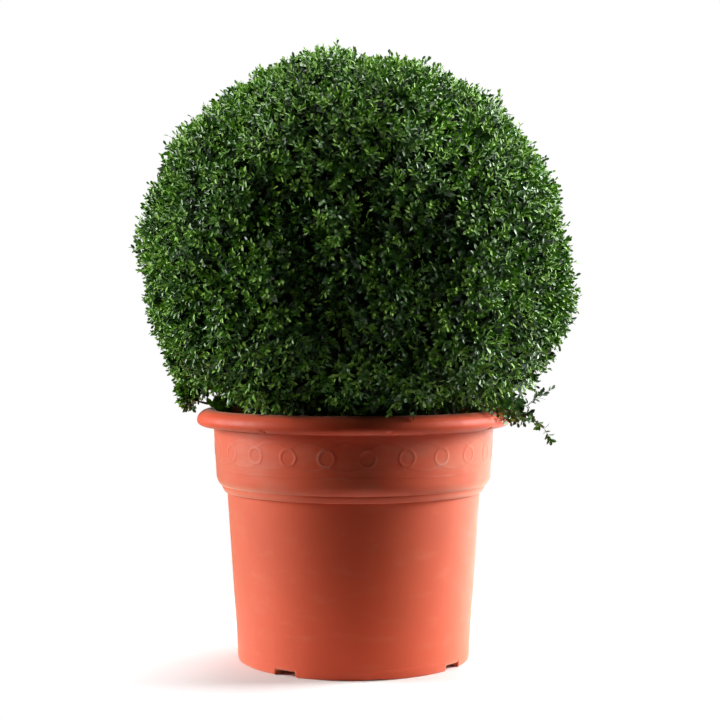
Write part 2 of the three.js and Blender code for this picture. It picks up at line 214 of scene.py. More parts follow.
def lightStudio():
    world = bpy.data.worlds.new("studio")
    scene.world = world
    world.use_nodes = True
    tree = world.node_tree
    soft = tree.nodes["Background"]
    soft.inputs["Color"].default_value = (1, 1, 1, 1)
    place = tree.nodes.new("ShaderNodeTexCoord")
    facing = tree.nodes.new("ShaderNodeVectorMath")
    facing.operation = "DOT_PRODUCT"
    facing.inputs[1].default_value = light["shineFrom"]
    shine = tree.nodes.new("ShaderNodeMapRange")
    shine.inputs["To Min"].default_value, shine.inputs["To Max"].default_value = light["shine"]
    strength = tree.nodes.new("ShaderNodeMath")
    strength.operation = "MULTIPLY_ADD"
    strength.inputs[2].default_value = light["world"]
    tree.links.new(place.outputs["Generated"], facing.inputs[0])
    tree.links.new(facing.outputs["Value"], shine.inputs["Value"])
    tree.links.new(shine.outputs["Result"], strength.inputs[0])
    tree.links.new(strength.outputs["Value"], soft.inputs["Strength"])
    white = tree.nodes.new("ShaderNodeBackground")
    white.inputs["Color"].default_value = (1, 1, 1, 1)
    white.inputs["Strength"].default_value = 1.0
    path = tree.nodes.new("ShaderNodeLightPath")
    mix = tree.nodes.new("ShaderNodeMixShader")
    tree.links.new(path.outputs["Is Glossy Ray"], strength.inputs[1])
    tree.links.new(path.outputs["Is Camera Ray"], mix.inputs["Fac"])
    tree.links.new(soft.outputs["Background"], mix.inputs[1])
    tree.links.new(white.outputs["Background"], mix.inputs[2])
    tree.links.new(mix.outputs["Shader"], tree.nodes["World Output"].inputs["Surface"])
    for name, lamp in light["lamps"].items():
        areaLight(name, *lamp)
    scene.view_settings.view_transform = "Standard"


def layFloor():
    bm = bmesh.new()
    bmesh.ops.create_circle(bm, cap_ends=True, segments=floorLook["segments"], radius=floorLook["radius"])
    floor = bpy.data.objects.new("floor", meshFrom(bm, "floor"))
    material, tree, shader = newMaterial("paleFloor", floorLook["colour"], floorLook["roughness"], floorLook["gloss"])
    place = tree.nodes.new("ShaderNodeTexCoord")
    length = tree.nodes.new("ShaderNodeVectorMath")
    length.operation = "LENGTH"
    fade = tree.nodes.new("ShaderNodeMapRange")
    fade.interpolation_type = "SMOOTHSTEP"
    fade.inputs["From Min"].default_value = floorLook["clearFrom"]
    fade.inputs["From Max"].default_value = floorLook["clearTo"]
    fade.inputs["To Min"].default_value = 1
    fade.inputs["To Max"].default_value = 0
    tree.links.new(place.outputs["Object"], length.inputs[0])
    tree.links.new(length.outputs["Value"], fade.inputs["Value"])
    tree.links.new(fade.outputs["Result"], shader.inputs["Alpha"])
    floor.data.materials.append(material)
    scene.collection.objects.link(floor)


placeCamera()
lightStudio()
layFloor()
print("camera, light and floor ready")

# pot: one turned wall with a rolled rim, a ring chain on its collar and drain notches in its foot; mm and degrees
pot = {
    "steps": 736,
    # radius, height and corner rounding, from the underside up the outside and down the inside
    "profile": [
        (0, 6, 0), (148, 6, 1), (151.5, 0, 1), (166.2, 0, 1), (167.4, 1.8, 1), (168, 12.5, 0.5), (167.6, 14, 0.5),
        (182.6, 240.6, 0.6), (182.9, 242.6, 0.6), (186.6, 242.2, 0.7), (188.2, 245.6, 1), (190.8, 250, 0.9),
        (190.2, 251.8, 0.7), (193.2, 253.4, 0.8), (195.8, 257, 1.2), (198, 263, 2.5), (202, 335.5, 1.2),
        (220, 336.6, 2.8), (226.4, 341.6, 3.6), (225.8, 350.8, 4.6), (216.6, 359.9, 5.8), (206, 361.2, 4.6),
        (199.6, 357.2, 3.6), (198, 348, 2), (198, 335, 0.4), (194, 262, 0.4), (179, 238, 0.4), (162, 10, 0.4),
        (0, 10, 0),
    ],
    "smallCorner": 2,  # corners up to this are cut once, larger ones in four
    "collarRows": 42, "collarRadius": 197.5, "collarHeight": 50, "rimFrom": 335.3,
    # the chain's rings, the arcs over and under them and the lines that frame them
    "rings": 23, "firstRing": 5.5, "ringHeight": 303.3, "ringRadius": 11.2, "strand": 1.9,
    "upperArc": (314.8, 8), "lowerArc": (291, -4.5), "arcStrand": 1.6, "frameLines": (276.5, 329), "lineStrand": 0.9,
    "relief": 0.66, "arcRelief": 0.45, "chainBand": (265, 334), "chainRadius": 197.8,
    # cuts in the foot ring, which is shallower inside, and small slots under the rim
    "foot": {"inside": 147, "shallowTo": 155, "shallow": 6},
    "notches": {"first": -34, "count": 4, "width": 34, "height": 8, "soft": False},
    "lifts": {"first": 11.5, "count": 4, "width": 40, "height": 1.7, "soft": True},
    "vents": {"first": 12.5, "count": 8, "width": 8, "height": 2.6, "band": (335.9, 340.2), "inside": 206},
}


def bump(distance, halfWidth):
    share = np.clip(np.abs(distance) / halfWidth, 0, 1)
    return 0.5 + 0.5 * np.cos(math.pi * share)


def nearestAngle(angles, first, count):
    pitch = 360 / count
    return (angles - first + pitch / 2) % pitch - pitch / 2


def chainRelief(angles, heights, radii):
    pitch = 360 / pot["rings"]
    along = np.radians(nearestAngle(angles, pot["firstRing"], pot["rings"])) * radii
    relief = bump(np.hypot(along, heights - pot["ringHeight"]) - pot["ringRadius"], pot["strand"])
    share = ((angles - pot["firstRing"]) % pitch) / pitch
    for middle, bulge in (pot["upperArc"], pot["lowerArc"]):
        arc = bump(heights - middle - bulge * np.sin(math.pi * share), pot["arcStrand"])
        relief = np.maximum(relief, pot["arcRelief"] * arc)
    for level in pot["frameLines"]:
        relief = np.maximum(relief, pot["arcRelief"] * bump(heights - level, pot["lineStrand"]))
    return relief


def potMesh():
    bm = bmesh.new()
    line = profileLine(bm, [corner[:2] for corner in pot["profile"]])
    for size in sorted({corner for *_, corner in pot["profile"] if corner}):
        rounded = [vert for vert, (*_, corner) in zip(line, pot["profile"]) if corner == size]
        bmesh.ops.bevel(bm, geom=rounded, offset=size * mm, affect="VERTICES",
                        segments=4 if size > pot["smallCorner"] else 1, profile=0.5, material=-1)
    collar = [e for e in bm.edges if min(v.co.x for v in e.verts) > pot["collarRadius"] * mm
              and e.calc_length() > pot["collarHeight"] * mm]
    bmesh.ops.subdivide_edges(bm, edges=collar, cuts=pot["collarRows"])
    turnProfile(bm, pot["steps"])
    mesh = meshFrom(bm, "pot")
    points = np.empty(len(mesh.vertices) * 3)
    mesh.vertices.foreach_get("co", points)
    points = points.reshape(-1, 3)
    radii = np.hypot(points[:, 0], points[:, 1]) / mm
    heights = points[:, 2] / mm
    angles = np.degrees(np.arctan2(points[:, 0], -points[:, 1]))  # from the front, positive to the right
    low, high = pot["chainBand"]
    outside = (heights > low) & (heights < high) & (radii > pot["chainRadius"])
    relief = np.where(outside, chainRelief(angles, heights, radii), 0)
    grown = 1 + relief * pot["relief"] / np.maximum(radii, 1)
    points[:, :2] *= grown[:, None]
    ring = pot["foot"]
    for cut in (pot["notches"], pot["lifts"]):
        across = np.radians(nearestAngle(angles, cut["first"], cut["count"])) * radii
        share = bump(across, cut["width"] / 2) if cut["soft"] else np.abs(across) < cut["width"] / 2
        top = np.where(radii < ring["shallowTo"], min(ring["shallow"], cut["height"]), cut["height"])
        foot = (heights < top) & (radii > ring["inside"])
        points[:, 2] = np.where(foot, np.maximum(heights, share * top), heights) * mm
        heights = points[:, 2] / mm
    vent = pot["vents"]
    low, high = vent["band"]
    across = np.radians(nearestAngle(angles, vent["first"], vent["count"])) * radii
    lip = (heights > low) & (heights < high) & (radii > vent["inside"]) & (np.abs(across) < vent["width"] / 2)
    points[:, 2] = np.where(lip, heights + vent["height"], heights) * mm
    mesh.vertices.foreach_set("co", points.ravel())
    attribute = mesh.attributes.new("relief", "FLOAT", "POINT")
    attribute.data.foreach_set("value", relief)
    mesh.update()
    return mesh


potFinish = {
    "base": (0.6, 0.06, 0.02), "roughness": 0.55, "gloss": 0.22,
    "wallSheen": 0.6, "rimSheen": 0.18, "sheenRoughness": 0.55, "sheenTint": (1.0, 0.84, 0.6),
    "clay": [(0.3, (0.60, 0.052, 0.012)), (0.7, (0.68, 0.065, 0.015))],
    "faded": (0.68, 0.14, 0.050), "scuffed": (0.74, 0.25, 0.14), "bloom": (0.62, 0.19, 0.12),
    # the colour along the chain's strands below is painted shade, and the last one a soil stain with painted shade on
    # the rim's top
    "traced": (0.47, 0.035, 0.009), "worn": (0.80, 0.50, 0.42), "soilStainAndShade": (0.16, 0.022, 0.008),
    "height": 0.4,  # the levels of bloom and of the rim's soil stain and painted shade are shares of this
}


def terracottaPlastic(name, sheen):
    material, tree, shader = newMaterial(name, potFinish["base"], potFinish["roughness"], potFinish["gloss"])
    shader.inputs["Sheen Weight"].default_value = sheen
    shader.inputs["Sheen Roughness"].default_value = potFinish["sheenRoughness"]
    shader.inputs["Sheen Tint"].default_value = (*potFinish["sheenTint"], 1)
    level = heightShare(tree, potFinish["height"])
    base = ramp(tree, objectNoise(tree, 7, 4), potFinish["clay"])
    faded = amountRamp(tree, objectNoise(tree, 16, 6, (1, 1, 0.12)), [(0.52, 0), (0.8, 0.17)])
    base = blendColours(tree, faded, base, potFinish["faded"])
    scuffs = amountRamp(tree, objectNoise(tree, 22, 9, (1, 1, 2.6)), [(0.55, 0), (0.78, 0.16)])
    base = blendColours(tree, scuffs, base, potFinish["scuffed"])
    # a pale bloom that keeps to the collar
    bloom = amountRamp(tree, objectNoise(tree, 13, 7, (1, 1, 2.2)), [(0.42, 0), (0.72, 0.42)])
    onCollar = amountRamp(tree, level, [(0.60, 0), (0.67, 1), (0.83, 1), (0.86, 0.3)])
    base = blendColours(tree, blendColours(tree, 1.0, bloom, onCollar, "MULTIPLY"), base, potFinish["bloom"])
    # the chain is a little darker along its strands, most at their flanks, as painted shade, and worn pale in places
    traced = tree.nodes.new("ShaderNodeAttribute")
    traced.attribute_name = "relief"
    strandShade = amountRamp(tree, traced.outputs["Fac"], [(0.0, 0), (0.4, 0.2), (0.9, 0.14)])
    base = blendColours(tree, strandShade, base, potFinish["traced"])
    worn = tree.nodes.new("ShaderNodeMath")
    worn.operation = "MULTIPLY"
    tree.links.new(traced.outputs["Fac"], worn.inputs[0])
    tree.links.new(amountRamp(tree, objectNoise(tree, 17, 4), [(0.5, 0), (0.66, 0.45)]), worn.inputs[1])
    base = blendColours(tree, worn.outputs["Value"], base, potFinish["worn"])
    # the top of the rim is darker: a stain of wet soil, and painted shade under the leaves
    base = blendColours(tree, amountRamp(tree, level, [(0.892, 0), (0.901, 0.6)]), base, potFinish["soilStainAndShade"])
    tree.links.new(base, shader.inputs["Base Color"])
    dust = objectNoise(tree, 55, 8, (1, 1, 0.5))
    tree.links.new(amountRamp(tree, dust, [(0.3, 0.48), (0.7, 0.60)]), shader.inputs["Roughness"])
    tree.links.new(bumpFrom(tree, objectNoise(tree, 420, 3), 0.06, 0.0006), shader.inputs["Normal"])
    return material


dustyWall = terracottaPlastic("dustyWall", potFinish["wallSheen"])
potWall = addPiece("pot_wall", potMesh(), dustyWall, "pot_plastic", "pot")
potWall.data.materials.append(terracottaPlastic("wipedRim", potFinish["rimSheen"]))  # less dusty than the wall
for face in potWall.data.polygons:
    face.material_index = int(face.center.z > pot["rimFrom"] * mm)
print("pot turned")

# soil: a low mound with crumbs on it, mm
soil = {
    "top": 334, "edge": 329.5, "radius": 197.6, "moundRadius": 60, "rings": 44, "steps": 120,
    "side": [(193.6, 262), (178.6, 238), (161.6, 10.3), (0, 10.3)],  # radius and height, down the side and under
    "rough": 3.2, "roughFrom": 328, "roughWithin": 196,
    "crumbs": 900, "crumbsWithin": 0.97, "crumbSize": (1.5, 5.5), "crumbRise": 0.3, "crumbShape": (0.6, 1.2),
    "crumbEdge": 0.15, "seed": 41,
}


def soilLevel(radius):
    return np.interp(radius, [0, soil["moundRadius"], soil["radius"]], [soil["top"], soil["top"], soil["edge"]])


def soilMesh():
    bm = bmesh.new()
    radii = np.linspace(0, soil["radius"], soil["rings"])
    profileLine(bm, [*zip(radii, soilLevel(radii)), *soil["side"]])
    turnProfile(bm, soil["steps"])
    for vert in bm.verts:
        if vert.co.z > soil["roughFrom"] * mm and vert.co.xy.length < soil["roughWithin"] * mm:
            lift = noise.fractal(vert.co * 90, 1.0, 2.0, 4) + 0.6 * noise.noise(vert.co * 30)
            vert.co.z += lift * soil["rough"] * mm
    rng = np.random.default_rng(soil["seed"])
    for _ in range(soil["crumbs"]):
        reach = soil["radius"] * soil["crumbsWithin"] * math.sqrt(rng.random())
        turn = rng.random() * 2 * math.pi
        size = rng.uniform(*soil["crumbSize"]) * mm
        level = soilLevel(reach) * mm + soil["crumbRise"] * size
        place = Matrix.Translation((reach * mm * math.cos(turn), reach * mm * math.sin(turn), level))
        shape = Matrix.Diagonal((*rng.uniform(*soil["crumbShape"], 3), 1))
        made = bmesh.ops.create_icosphere(bm, subdivisions=1, radius=size / 2, matrix=place @ shape)
        for vert in made["verts"]:
            vert.co += Vector(rng.uniform(-soil["crumbEdge"], soil["crumbEdge"], 3)) * size
    return meshFrom(bm, "soil")


def moistSoil():
    material, tree, shader = newMaterial("moistSoil", (0.03, 0.018, 0.011), 0.9, 0.25)
    grain = objectNoise(tree, 160, 8)
    earth = [(0.35, (0.012, 0.008, 0.005)), (0.55, (0.04, 0.024, 0.014)), (0.75, (0.09, 0.06, 0.04))]
    tree.links.new(ramp(tree, grain, earth), shader.inputs["Base Color"])
    tree.links.new(bumpFrom(tree, grain, 0.6, 0.002), shader.inputs["Normal"])
    return material


addPiece("soil_fill", soilMesh(), moistSoil(), "soil", "soil")
print("soil filled")

# the clipped ball's outline, by the same rule as the solids
ball = {
    "centre": 0.578, "radius": 0.308, "top": 0.888, "undercut": 2.4, "underDepth": 0.285, "bottom": 0.3625,
    # azimuth from +X in degrees, height from -1 to 1, width and depth of soft bulges in the clipping
    "bulges": [
        (0, -0.36, 0.34, 0.020), (180, 0.22, 0.38, 0.008), (-100, 0.1, 0.5, 0.006), (95, -0.1, 0.5, 0.008),
        (0, 0.80, 0.4, -0.009), (0, 1.0, 0.36, -0.014), (0, 0.963, 0.2, -0.008), (0, 0.3, 0.4, 0.006),
        (185, -0.55, 0.34, -0.001), (180, 0.85, 0.3, -0.003), (0, -0.62, 0.3, 0.010), (-87, 0.055, 0.075, -0.03),
    ],
    # heading and shift of the waves that make the clipping uneven
    "waves": [((9, 4, 5), 0.3), ((-6, 8, 7), 1.9), ((4, -9, 8), 4.1), ((12, 7, -10), 2.2)],
    "unevenness": 0.0035, "clumpDepth": 0.011, "clumpWidth": 0.19, "clumpEdge": 1.2,
    # azimuth, height, width and the share of shoots that stay
    "thinSpots": [(-4, -0.62, 0.30, 0.24), (176, -0.72, 0.20, 0.6)],
}
ballCentre = np.array([0, 0, ball["centre"]])


def curveReach(headings):
    up = headings[:, 2] >= 0
    power = np.where(up, 2.0, ball["undercut"])
    depth = np.where(up, ball["top"] - ball["centre"], ball["underDepth"])
    across = np.hypot(headings[:, 0], headings[:, 1]) / ball["radius"]
    return (across ** power + (np.abs(headings[:, 2]) / depth) ** power) ** (-1 / power)


def levelReach(headings):
    down = np.minimum(headings[:, 2], -1e-6)
    return np.where(headings[:, 2] < 0, (ball["centre"] - ball["bottom"]) / -down, np.inf)


def headingAt(azimuth, height):
    turn, level = math.radians(azimuth), math.sqrt(1 - height ** 2)
    return np.array([level * math.cos(turn), level * math.sin(turn), height])


def clippedReach(headings):
    reach = curveReach(headings)
    for azimuth, height, width, depth in ball["bulges"]:
        gap = np.linalg.norm(headings - headingAt(azimuth, height), axis=1)
        reach = reach + depth * np.exp(-(gap / width) ** 2)
    waves = sum(np.sin(headings @ np.array(turn) + shift) for turn, shift in ball["waves"])
    return np.minimum(reach + ball["unevenness"] * waves / 2, levelReach(headings))


# each branch carries a soft clump, with a shallow furrow between it and the next
def clumpFurrow(headings, branchHeads):
    gap = np.arccos(np.clip((headings @ branchHeads.T).max(axis=1), -1, 1))
    return ball["clumpDepth"] * np.clip(gap / ball["clumpWidth"], 0, ball["clumpEdge"]) ** 2


def thinned(headings, rng):
    keep = np.ones(len(headings))
    for azimuth, height, width, share in ball["thinSpots"]:
        gap = np.linalg.norm(headings - headingAt(azimuth, height), axis=1)
        keep = np.minimum(keep, 1 - (1 - share) * np.exp(-(gap / width) ** 4))
    return headings[rng.random(len(headings)) < keep]


def spiralHeadings(count, rng, jitter, under=1.02):
    order = np.arange(count) + 0.5
    z = np.clip(1 - 2 * order / count + rng.uniform(-jitter, jitter, count) / count, -1, 1)
    turn = order * goldenAngle + rng.uniform(-jitter, jitter, count) * 2 / math.sqrt(count)
    across = np.sqrt(1 - z * z)
    headings = np.stack([across * np.cos(turn), across * np.sin(turn), z], 1)
    return headings[curveReach(headings) < levelReach(headings) * under]


# limbs: lines that branch on from the trunk, each level finer than the last
# from: where on the older limb they start; lead: how far they first run on along it, outwards and up
growth = {
    "seed": 9, "bend": 0.45,
    "bough": {"count": 9, "spare": 3, "jitter": 0.3, "reach": 0.55, "bend": 0.4, "steps": 8,
              "radius": (0.0085, 0.0045), "sides": 12},
    "branch": {"count": 130, "jitter": 1.2, "short": 0.066, "from": (0.3, 0.98), "lead": (0.7, 0.4, 0.1), "steps": 5,
               "radius": (0.0036, 0.0016), "sides": 7},
    "twig": {"count": 1150, "jitter": 0.5, "short": 0.034, "uneven": 0.004, "from": (0.55, 1.0),
             "lead": (0.6, 0.5, 0.1), "steps": 3, "radius": (0.0013, 0.0008)},
    "spur": {"count": 1900, "length": (0.03, 0.06), "from": (0.2, 0.97), "lean": 0.45, "bend": 0.4, "steps": 3,
             "above": 0.01},
    "shoot": {"count": 9000, "jitter": 0.6, "skirt": 1.55, "droop": (-0.016, 0.004), "leafRoom": 0.001,
              "clip": 0.0085, "strays": 0.035, "topStrays": 1.5, "strayOut": (0.003, 0.010), "from": (0.4, 0.98),
              "lead": (0.3, 0.8, -0.25), "waver": 0.12, "steps": 2, "radius": (0.00055, 0.00033)},
}
trunk = {"foot": 0.3343, "top": 0.362, "footRadius": 0.017, "topRadius": 0.013, "flare": 0.011, "flareFall": 5,
         "lean": 0.004, "leanBack": 0.4, "seat": 0.004, "sides": 40, "rings": 22}


def bendLines(starts, ends, leads, steps):
    middles = starts + leads * np.linalg.norm(ends - starts, axis=1, keepdims=True)
    t = np.linspace(0, 1, steps + 1)[None, :, None]
    return (1 - t) ** 2 * starts[:, None] + 2 * t * (1 - t) * middles[:, None] + t ** 2 * ends[:, None]


def pointAlong(lines, owners, shares):
    place = shares * (lines.shape[1] - 1)
    index = np.minimum(place.astype(int), lines.shape[1] - 2)
    rest = (place - index)[:, None]
    first, second = lines[owners, index], lines[owners, index + 1]
    return first + (second - first) * rest, unit(second - first)


def growFrom(lines, headings, rng, level):
    tips = unit(lines[:, -1] - ballCentre)
    owners = np.argmax(headings @ tips.T, axis=1)
    starts, onward = pointAlong(lines, owners, rng.uniform(*level["from"], len(headings)))
    ahead, out, up = level["lead"]
    leads = unit(onward * ahead + headings * out + np.array([0, 0, up])) * growth["bend"]
    return starts, leads


def growLimbs():
    rng = np.random.default_rng(growth["seed"])
    bough, branch, twig, spur, shoot = (growth[name] for name in ("bough", "branch", "twig", "spur", "shoot"))
    up = np.array([0.0, 0, 1])
    trunkTop = np.array([trunk["lean"], trunk["leanBack"] * trunk["lean"], trunk["top"] - trunk["seat"]])
    heads = spiralHeadings(bough["count"] + bough["spare"], rng, bough["jitter"])[: bough["count"]]
    ends = ballCentre + heads * (clippedReach(heads) * bough["reach"])[:, None]
    starts = np.repeat(trunkTop[None], len(heads), 0)
    boughs = bendLines(starts, ends, np.repeat(up[None] * bough["bend"], len(heads), 0), bough["steps"])

    heads = branchHeads = spiralHeadings(branch["count"], rng, branch["jitter"])
    ends = ballCentre + heads * (clippedReach(heads) - branch["short"])[:, None]
    starts, leads = growFrom(boughs, heads, rng, branch)
    branches = bendLines(starts, ends, leads, branch["steps"])

    heads = spiralHeadings(twig["count"], rng, twig["jitter"])
    reach = clippedReach(heads) - twig["short"] + rng.normal(0, twig["uneven"], len(heads))
    ends = ballCentre + heads * reach[:, None]
    starts, leads = growFrom(branches, heads, rng, twig)
    twigs = bendLines(starts, ends, leads, twig["steps"])

    # spurs fill the inside, sideways from the branches
    owners = rng.integers(0, len(branches), spur["count"])
    starts, onward = pointAlong(branches, owners, rng.uniform(*spur["from"], spur["count"]))
    aside = unit(np.cross(onward, rng.normal(0, 1, onward.shape)))
    ends = starts + unit(aside + spur["lean"] * onward) * rng.uniform(*spur["length"], spur["count"])[:, None]
    spurs = bendLines(starts, ends, onward * spur["bend"], spur["steps"])
    spurs = spurs[ends[:, 2] > ball["bottom"] + spur["above"]]

    heads = thinned(spiralHeadings(shoot["count"], rng, shoot["jitter"], shoot["skirt"]), rng)
    reach = clippedReach(heads) - clumpFurrow(heads, branchHeads) - shoot["leafRoom"]
    setBack = np.abs(rng.normal(0, shoot["clip"], len(heads)))
    reach = reach - setBack
    stray = rng.random(len(heads)) < shoot["strays"] * (1 + shoot["topStrays"] * np.maximum(heads[:, 2], 0))
    reach = reach + np.where(stray, rng.uniform(*shoot["strayOut"], len(heads)), 0)
    ends = ballCentre + heads * reach[:, None]
    hanging = curveReach(heads) > levelReach(heads)  # the skirt droops on into the pot's mouth and over the rim
    ends[:, 2] += np.where(hanging, rng.uniform(*shoot["droop"], len(heads)), 0)
    starts, leads = growFrom(twigs, heads, rng, shoot)  # they dip at first, so tips turn up to the light
    leads = leads + rng.normal(0, shoot["waver"], leads.shape)
    shoots = bendLines(starts, ends, leads, shoot["steps"])
    return boughs, branches, twigs, spurs, shoots, setBack


boughLines, branchLines, twigLines, spurLines, shootLines, shootBack = growLimbs()
print("limbs grown:", len(boughLines), len(branchLines), len(twigLines), len(spurLines), len(shootLines))

# bark relief: how fine its grain is, how it is drawn out upwards, and how deep it is in metres
barkRelief = {"trunkGrain": 140, "boughGrain": 260, "stretch": 0.35, "trunk": 0.0011, "bough": 0.000765,
              "branch": 0.000324, "lowBough": 0.0005}


# a limb as a ring pushed out along its line
def pushLimb(bm, line, radii, sides):
    across = Vector(line[1] - line[0]).normalized().orthogonal().normalized()
    ring = bmesh.ops.create_circle(bm, cap_ends=False, segments=sides, radius=1)["verts"]
    edges = list({e for v in ring for e in v.link_edges})
    circle = [v.co.copy() for v in ring]
    for index, place in enumerate(line):
        heading = Vector(line[min(index + 1, len(line) - 1)] - line[max(index - 1, 0)]).normalized()
        across = (across - heading * across.dot(heading)).normalized()
        turn = Matrix((across, heading.cross(across), heading)).transposed()
        if index:
            made = bmesh.ops.extrude_edge_only(bm, edges=edges)["geom"]
            edges = [g for g in made if isinstance(g, bmesh.types.BMEdge)]
            ring = matchRing(ring, made)
        for vert, spot in zip(ring, circle):
            vert.co = Vector(place) + turn @ (spot * radii[index])
    bmesh.ops.contextual_create(bm, geom=edges)


def matchRing(ring, made):
    new = {g for g in made if isinstance(g, bmesh.types.BMVert)}
    return [next(e.other_vert(v) for e in v.link_edges if e.other_vert(v) in new) for v in ring]


def roughenBark(bm, amount, grain):
    bm.normal_update()
    for vert in bm.verts:
        stretched = Vector((vert.co.x, vert.co.y, vert.co.z * barkRelief["stretch"]))
        lift = noise.fractal(stretched * grain, 0.9, 2.1, 4) + 0.5 * abs(noise.noise(stretched * grain * 0.5))
        vert.co += vert.normal * lift * amount


def greyBark():
    material, tree, shader = newMaterial("greyBark", (0.15, 0.11, 0.075), 0.85, 0.3)
    furrows = objectNoise(tree, 130, 7, (1, 1, 0.3))
    greys = [(0.3, (0.05, 0.036, 0.024)), (0.55, (0.15, 0.115, 0.08)), (0.8, (0.27, 0.23, 0.18))]
    tree.links.new(ramp(tree, furrows, greys), shader.inputs["Base Color"])
    tree.links.new(bumpFrom(tree, furrows, 0.5, 0.0012), shader.inputs["Normal"])
    return material


def trunkMesh():
    bm = bmesh.new()
    share = np.linspace(0, 1, trunk["rings"])
    shift = trunk["lean"] * share ** 1.5
    rise = trunk["foot"] + (trunk["top"] - trunk["foot"]) * share
    line = np.stack([shift, trunk["leanBack"] * shift, rise], 1)
    radii = trunk["footRadius"] + (trunk["topRadius"] - trunk["footRadius"]) * share
    radii = radii + trunk["flare"] * np.exp(-trunk["flareFall"] * share)
    pushLimb(bm, line, radii, trunk["sides"])
    roughenBark(bm, barkRelief["trunk"], barkRelief["trunkGrain"])
    for vert in bm.verts:  # the foot stays cut level on the soil
        vert.co.z = max(vert.co.z, trunk["foot"] - trunk["seat"])
    bmesh.ops.recalc_face_normals(bm, faces=bm.faces[:])
    return meshFrom(bm, "trunk")


def limbMesh(name, lines, radii, sides, relief=0):
    bm = bmesh.new()
    for line in lines:
        pushLimb(bm, line, np.linspace(*radii, len(line)), sides)
    if relief:
        roughenBark(bm, relief, barkRelief["boughGrain"])
    bmesh.ops.recalc_face_normals(bm, faces=bm.faces[:])
    return meshFrom(bm, name)


# many thin three-sided twigs as one mesh
def thinTwigs(name, lines, radii):
    count, stations = lines.shape[:2]
    ahead = unit(np.gradient(lines, axis=1))
    side = unit(np.cross(ahead, np.array([0.31, 0.47, 0.83])))
    other = np.cross(ahead, side)
    turns = np.arange(3)[:, None] * 2 * math.pi / 3
    thick = np.linspace(*radii, stations)[None, :, None, None]
    rings = lines[:, :, None] + thick * (side[:, :, None] * np.cos(turns) + other[:, :, None] * np.sin(turns))
    base = (np.arange(count)[:, None, None] * stations + np.arange(stations - 1)[None, :, None]) * 3
    low, lowNext = base + np.arange(3), base + (np.arange(3) + 1) % 3
    high, highNext = low + 3, lowNext + 3
    faces = np.concatenate([np.stack([low, lowNext, highNext], -1).reshape(-1, 3),
                            np.stack([low, highNext, high], -1).reshape(-1, 3)])
    tips = (np.arange(count) * stations + stations - 1) * 3
    caps = np.stack([tips, tips + 1, tips + 2], 1)
    return joinedMesh(name, rings.reshape(-1, 3), np.concatenate([faces, caps]))


twigLook = {"brown": (0.085, 0.062, 0.034), "green": (0.07, 0.115, 0.03), "roughness": 0.7, "gloss": 0.3}
bark = greyBark()
addPiece("trunk_stem", trunkMesh(), bark, "bark", "trunk")
for name, lines, level in (("crown_boughs", boughLines, "bough"), ("crown_branches", branchLines, "branch")):
    limbs = limbMesh(name, lines, growth[level]["radius"], growth[level]["sides"], barkRelief[level])
    addPiece(name, limbs, bark, "bark", "crown_ball")
brownTwig = newMaterial("brownTwig", twigLook["brown"], twigLook["roughness"], twigLook["gloss"])[0]
greenTwig = newMaterial("greenTwig", twigLook["green"], twigLook["roughness"], twigLook["gloss"])[0]
twigMesh = thinTwigs("crown_twigs", np.concatenate([twigLines, spurLines]), growth["twig"]["radius"])
addPiece("crown_twigs", twigMesh, brownTwig, "bark", "crown_ball")
print("trunk, boughs and twigs made")

# low boughs over the rim and the loose sprays on them, by the same lines as the solids; mm and degrees
lowBough = {
    "foot": 6.5, "footHeight": 349, "tipReach": 199, "tipHeight": 367.5, "radius": (5.5, 2.2), "tipRadius": 0.8,
    "sides": 10, "stemSides": 7, "steps": 50, "boughSteps": 30,
    "way": [(0.35, 0.6), (0.7, 0.95)],  # shares of the bough's run and rise at its middle points
    "stemWay": [(2, 0.45, 0.3), (-1, 0.85, 1)],  # turn, and shares of the spray's reach and rise
}
